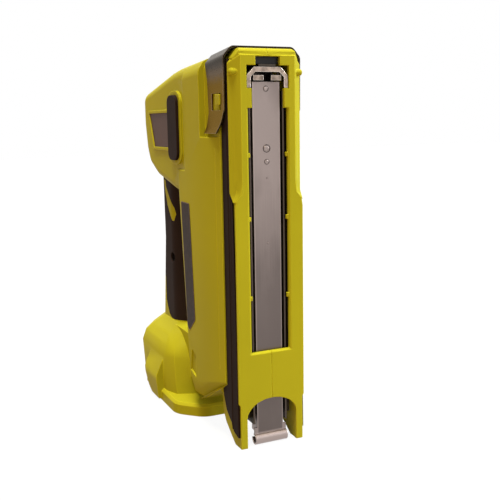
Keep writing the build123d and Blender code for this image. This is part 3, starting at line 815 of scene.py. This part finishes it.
class Surround(Tree):
    """White where it is seen directly, and a soft even light on the object."""

    def __init__(self):
        self.world = bpy.data.worlds.new("studio_surround")
        self.world.use_nodes = True
        self.tree = self.world.node_tree
        self.tree.nodes.clear()
        soft = self.node("ShaderNodeBackground", {}, {"Color": (1.0, 0.98, 0.96, 1.0), "Strength": 0.12})
        white = self.node("ShaderNodeBackground", {}, {"Color": (1.0, 1.0, 1.0, 1.0), "Strength": 1.0})
        mix = self.node("ShaderNodeMixShader", {}, {
            0: self.seen_directly(), 1: soft.outputs[0], 2: white.outputs[0]})
        self.node("ShaderNodeOutputWorld", {}, {0: mix.outputs[0]})


def floor_finish():
    """Pale matt floor with the object's shadow; the rail shows through it where it slides out below."""
    finish = Finish("floor_pale", Roughness=0.9, Specular_IOR_Level=0.0)
    seen = finish.seen_directly()
    dull = finish.ramp(finish.noise(scale=3.0), shades(FLOOR_BOUNCE, 0.99, 1.01))
    finish.drive(Base_Color=finish.mix(seen, dull, FLOOR_COLOUR))
    shadow = Value(finish, finish.node("ShaderNodeLightPath").outputs["Is Shadow Ray"])
    clear = finish.node("ShaderNodeBsdfTransparent")
    mix = finish.node("ShaderNodeMixShader", {}, {
        0: FLOOR_CLEAR * seen + shadow, 1: finish.shader.outputs[0], 2: clear.outputs[0]})
    finish.feed(finish.output.inputs[0], mix.outputs[0])
    return finish.material


def make_floor(half):
    """A square floor at the tail's height, which belongs to the stage."""
    mesh = bpy.data.meshes.new("floor")
    mesh.from_pydata([(-half, -half, 0), (half, -half, 0), (half, half, 0), (-half, half, 0)], [], [(0, 1, 2, 3)])
    mesh.materials.append(floor_finish())
    add_piece("floor", mesh)


def soft_sun(name, source, strength, spread, colour):
    """A distant light from the side of its source."""
    data = bpy.data.lights.new(name, "SUN")
    data.energy = strength
    data.angle = math.radians(spread)
    data.color = colour
    lamp = bpy.data.objects.new(name, data)
    lamp.rotation_euler = (-Vector(source)).to_track_quat("-Z", "Y").to_euler()
    bpy.context.scene.collection.objects.link(lamp)


def photo_camera(scene, lens):
    """The photographed view: camera left of the work face, a little above its middle."""
    turn, tip, roll = (math.radians(angle) for angle in (CAMERA_TURN, CAMERA_TIP, CAMERA_ROLL))
    ahead = Vector((math.sin(turn) * math.cos(tip), math.cos(turn) * math.cos(tip), -math.sin(tip)))
    level = Vector((math.cos(turn), -math.sin(turn), 0))
    above = level.cross(ahead)
    right = math.cos(roll) * level + math.sin(roll) * above
    up = -math.sin(roll) * level + math.cos(roll) * above
    data = bpy.data.cameras.new("photo_camera")
    data.lens = lens
    data.sensor_width = SENSOR_WIDTH
    camera = bpy.data.objects.new("photo_camera", data)
    basis = Matrix((right, up, -ahead)).transposed().to_4x4()
    camera.matrix_world = Matrix.Translation(at(*CAMERA_PLACE)) @ basis
    scene.collection.objects.link(camera)
    scene.camera = camera


class StaplerLook(bpy.types.PropertyGroup):
    """Colours a user would change."""

    shell: bpy.props.FloatVectorProperty(
        name="Shell", description="Moulded shell colour", subtype="COLOR", size=3, default=(0.375, 0.35, 0.015))
    rubber: bpy.props.FloatVectorProperty(
        name="Rubber", description="Soft overmould colour", subtype="COLOR", size=3,
        default=(0.020, 0.012, 0.0102))
    badge: bpy.props.FloatVectorProperty(
        name="Badge", description="Blank badge plate colour", subtype="COLOR", size=3,
        default=(0.092, 0.057, 0.053))
    film: bpy.props.FloatVectorProperty(
        name="Film", description="Blank film colour on the column", subtype="COLOR", size=3,
        default=(0.03, 0.021, 0.018))
    rail: bpy.props.FloatVectorProperty(
        name="Rail", description="Brushed magazine rail colour", subtype="COLOR", size=3,
        default=(0.31, 0.25, 0.232))
    strap: bpy.props.FloatVectorProperty(
        name="Strap", description="Spring steel colour", subtype="COLOR", size=3, default=(0.14, 0.082, 0.022))
    plated: bpy.props.FloatVectorProperty(
        name="Plating", description="Bright plated colour", subtype="COLOR", size=3, default=(0.40, 0.31, 0.25))


class StaplerSizes(bpy.types.PropertyGroup):
    """Sizes a user would change."""

    lens: bpy.props.FloatProperty(
        name="Lens", description="Camera lens on a 36 mm sensor", unit="CAMERA", default=54.84)
    crease: bpy.props.FloatProperty(
        name="Crease", description="Angle from which an edge of the shell stays sharp", subtype="ANGLE",
        default=math.radians(36))
    film_thick: bpy.props.FloatProperty(
        name="Film", description="Thickness of the blank film", unit="LENGTH", default=0.00028)
    drive_turns: bpy.props.IntProperty(
        name="Drive spring turns", description="Turns of the drive spring", default=13)
    pusher_turns: bpy.props.IntProperty(
        name="Pusher spring turns", description="Turns of the pusher spring", default=44)
    staples: bpy.props.IntProperty(name="Staples", description="Staples in the strip", default=40)


class STAPLER_OT_shell(bpy.types.Operator):
    """Show the two shell halves as smooth mouldings with bevelled corners"""

    bl_idname = "stapler.shell"
    bl_label = "Shell"

    def execute(self, context):
        scene = context.scene
        finish = shell_finish(scene.stapler_look)
        reshape(SHELL_NODES, finish, "yellow_shell", scene.stapler_sizes.crease, shape_shell)
        return {"FINISHED"}


class STAPLER_OT_rubber(bpy.types.Operator):
    """Give bands, bumpers, grips, badge plates and small mouldings their shapes and finishes"""

    bl_idname = "stapler.rubber"
    bl_label = "Rubber and mouldings"

    def execute(self, context):
        look, crease = context.scene.stapler_look, context.scene.stapler_sizes.crease
        rubber = rubber_finish(look)
        paint(RUBBER_NODES, rubber)
        reshape(BAND_NODES, rubber, "dark_rubber", crease, trim_band)
        reshape(PAD_NODES, rubber, "dark_rubber", crease, widen_pad)
        paint(BADGE_NODES, badge_finish(look))
        paint(MOULDED_NODES, painted_finish("moulded_black", (0.02, 0.018, 0.017), rough=0.42))
        paint(("control_board",), painted_finish("board_coating", (0.03, 0.16, 0.06), rough=0.35))
        return {"FINISHED"}


class STAPLER_OT_steel(bpy.types.Operator):
    """Give the sheet metal, machined parts and plating their finishes"""

    bl_idname = "stapler.steel"
    bl_label = "Steel"

    def execute(self, context):
        look = context.scene.stapler_look
        paint(("magazine_rail",), rail_finish(look))
        paint(("nose_cover",), strap_finish(look))
        paint(("front_keeper",), plated_finish(look))
        paint(NOSE_NODES, painted_finish("steel_blackened", (0.006, 0.006, 0.006), rough=0.3))
        # Dark sheet steel; part of its darkness is painted shade in the window where it shows
        channel = shades((0.075, 0.058, 0.046), 0.7, 1.3)
        paint(CHANNEL_NODES, brushed_finish("channel_sheet", channel, rough=0.34, stretch=(1500, 1500, 60)))
        can = shades((0.3, 0.3, 0.31), 0.85, 1.1)
        paint(("motor",), brushed_finish("motor_can", can, rough=0.35, stretch=(1500, 1500, 40)))
        steel = shades((0.36, 0.34, 0.33), 0.8, 1.15)
        paint(TOOL_STEEL_NODES, brushed_finish("tool_steel", steel, rough=0.32))
        brass = shades((0.6, 0.42, 0.17), 0.85, 1.1)
        paint(BRASS_NODES, brushed_finish("brass_turned", brass, rough=0.3))
        # Dark hardened steel; part of its darkness is painted shade in the exit slot
        blade = shades((0.06, 0.05, 0.04), 0.7, 1.3)
        paint(("driver_blade",), brushed_finish("blade_hardened", blade, rough=0.3))
        return {"FINISHED"}


class STAPLER_OT_film(bpy.types.Operator):
    """Lay the blank film on the right side of the column"""

    bl_idname = "stapler.film"
    bl_label = "Blank film"

    def execute(self, context):
        look = context.scene.stapler_look
        outline = round_corners(FILM_OUTLINE, FILM_CORNER, FILM_STEPS)
        inner = draw_in(outline, FILM_BORDER)
        front = FILM_X - context.scene.stapler_sizes.film_thick / MM
        mesh = bmesh.new()
        seat, rim, field = (
            [mesh.verts.new(at(x, y, z)) for y, z in points]
            for x, points in ((FILM_X, outline), (front, outline), (front, inner)))
        for loop in (seat, field):
            mesh.faces.new(loop)
        skin(mesh, (seat, rim))
        for border in skin(mesh, (rim, field)):
            border.material_index = 1
        bmesh.ops.recalc_face_normals(mesh, faces=mesh.faces)
        data = built_mesh(mesh, "column_film")
        data.materials.append(film_finish("film_blank", look.film))
        data.materials.append(film_finish("film_border", lit(look.film, FILM_BORDER_LIT)))
        fit(add_piece("column_film", data), "frame", "badge_grey")
        return {"FINISHED"}


class STAPLER_OT_rivets(bpy.types.Operator):
    """Set the pressed rivets into the rail's face"""

    bl_idname = "stapler.rivets"
    bl_label = "Rail rivets"

    def execute(self, context):
        look = context.scene.stapler_look
        steel = brushed_finish("rivet_steel", shades(look.rail, 0.7, 1.5), rough=0.24)
        # The ring's dark colour is painted shade in the pressed groove
        ring_shade = brushed_finish("rivet_ring", shades(look.rail, 0.12, 0.35), rough=0.3)
        rivets = rivet_recipe(steel, ring_shade).grow(
            "rail_rivets", [at(0, RIVET_Y, z) for z, _ in RIVETS], RIVET_SHARES,
            way=[(0.0, -1.0, 0.0)] * len(RIVETS), radius=[radius * MM for _, radius in RIVETS])
        fit(rivets, "rail", "rail_steel")
        return {"FINISHED"}


class STAPLER_OT_screws(bpy.types.Operator):
    """Put socketed screws in place of the plain ones"""

    bl_idname = "stapler.screws"
    bl_label = "Housing screws"

    def execute(self, context):
        black = painted_finish("screw_blackened", (0.03, 0.028, 0.027), rough=0.3, specular=0.5)
        screws = screw_recipe(black).grow(
            "housing_screws_socketed", [at(x, y, z) for y, z, x in SCREWS],
            {name: size * MM for name, size in SCREW_SIZES.items()},
            way=[(math.copysign(1.0, x), 0.0, 0.0) for _, _, x in SCREWS],
            reach=[(abs(x) + SHANK_PAST) * MM for _, _, x in SCREWS])
        fit(screws, "frame", "screw_steel", "housing_screws")
        return {"FINISHED"}


class STAPLER_OT_well(bpy.types.Operator):
    """Line the screw well in the right grip with a dark sleeve; its colour, darker than the rubber, is painted
    shade deep in the well
    """

    bl_idname = "stapler.well"
    bl_label = "Screw well"

    def execute(self, context):
        mesh = bmesh.new()
        rings = [circle(mesh, x, radius, GRIP_SCREW, SLEEVE_SIDES) for x, radius in SLEEVE]
        for face in skin(mesh, rings + rings[:1]):
            face.smooth = True
        bmesh.ops.recalc_face_normals(mesh, faces=mesh.faces)
        data = built_mesh(mesh, "grip_screw_well")
        data.set_sharp_from_angle(angle=context.scene.stapler_sizes.crease)
        # Painted shade: the sleeve is darker than the rubber round it
        data.materials.append(painted_finish("well_dark", (0.01, 0.007, 0.006), rough=0.5, specular=0.05))
        fit(add_piece("grip_screw_well", data), "frame", "dark_rubber")
        return {"FINISHED"}


class STAPLER_OT_springs(bpy.types.Operator):
    """Wind the drive, pusher and trigger springs in place of the sleeves"""

    bl_idname = "stapler.springs"
    bl_label = "Springs"

    def execute(self, context):
        sizes = context.scene.stapler_sizes
        steel = shades((0.34, 0.31, 0.29), 0.8, 1.15)
        recipe = coil_recipe(brushed_finish("spring_wire", steel, rough=0.26, stretch=(700, 700, 700)))
        all_turns = (sizes.drive_turns, sizes.pusher_turns, TRIGGER_TURNS)
        for spring, turns in zip(SPRINGS, all_turns):
            node, body, joint, start, way, length, radius, wire, travel = spring
            inset = Vector(way) * wire * MM
            coil = recipe.grow(node + "_coil", [at(*start) + inset],
                               {"Turns": turns, "Radius": radius * MM, "Wire": wire * MM,
                                "Length": (length - 2 * wire) * MM}, way=[way])
            fit(coil, body, "spring_steel", node)
            at(*start)
            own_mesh(coil)
        return {"FINISHED"}


class STAPLER_OT_staples(bpy.types.Operator):
    """Stand the single staples in place of the strip's block"""

    bl_idname = "stapler.staples"
    bl_label = "Staples"

    def execute(self, context):
        count = context.scene.stapler_sizes.staples
        low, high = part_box("staple_strip")
        pitch = (high.z - low.z) / count
        # The staples are darkened as painted shade deep in the nose
        wire = brushed_finish("staple_wire", shades((0.05, 0.045, 0.04), 0.7, 1.3), rough=0.3)
        start = Vector((0, low.y, low.z + pitch / 2))
        row = staple_recipe(wire).grow("staple_row", [start], {"Count": count, "Pitch": pitch,
                                                               "Wire": STAPLE_SHARE * pitch})
        fit(row, "frame", "staple_wire", "staple_strip")
        return {"FINISHED"}


class STAPLER_OT_stage(bpy.types.Operator):
    """Add the pale floor, white surround, soft lights and the camera"""

    bl_idname = "stapler.stage"
    bl_label = "Stage"

    def execute(self, context):
        scene = context.scene
        scene.view_settings.view_transform = "Standard"
        scene.world = Surround().world
        make_floor(FLOOR_HALF)
        for light in LIGHTS:
            soft_sun(*light)
        photo_camera(scene, scene.stapler_sizes.lens)
        return {"FINISHED"}


class STAPLER_PT_panel(bpy.types.Panel):
    """Shows a button for each of the stapler's operators"""

    bl_idname = "STAPLER_PT_panel"
    bl_label = "Cordless stapler"
    bl_space_type = "VIEW_3D"
    bl_region_type = "UI"
    bl_category = "Stapler"

    def draw(self, context):
        for operator in OPERATORS:
            self.layout.operator(operator.bl_idname)


OPERATORS = (STAPLER_OT_shell, STAPLER_OT_rubber, STAPLER_OT_steel, STAPLER_OT_film, STAPLER_OT_rivets,
             STAPLER_OT_screws, STAPLER_OT_well, STAPLER_OT_springs, STAPLER_OT_staples, STAPLER_OT_stage)
CLASSES = (StaplerLook, StaplerSizes, *OPERATORS, STAPLER_PT_panel)


def register():
    for item in CLASSES:
        bpy.utils.register_class(item)
    bpy.types.Scene.stapler_look = bpy.props.PointerProperty(type=StaplerLook)
    bpy.types.Scene.stapler_sizes = bpy.props.PointerProperty(type=StaplerSizes)


def unregister():
    del bpy.types.Scene.stapler_sizes
    del bpy.types.Scene.stapler_look
    for item in reversed(CLASSES):
        bpy.utils.unregister_class(item)


def main():
    register()
    bpy.ops.stapler.shell()
    bpy.ops.stapler.rubber()
    bpy.ops.stapler.steel()
    bpy.ops.stapler.film()
    bpy.ops.stapler.rivets()
    bpy.ops.stapler.screws()
    bpy.ops.stapler.well()
    bpy.ops.stapler.springs()
    bpy.ops.stapler.staples()
    bpy.ops.stapler.stage()


if __name__ == "__main__":
    main()
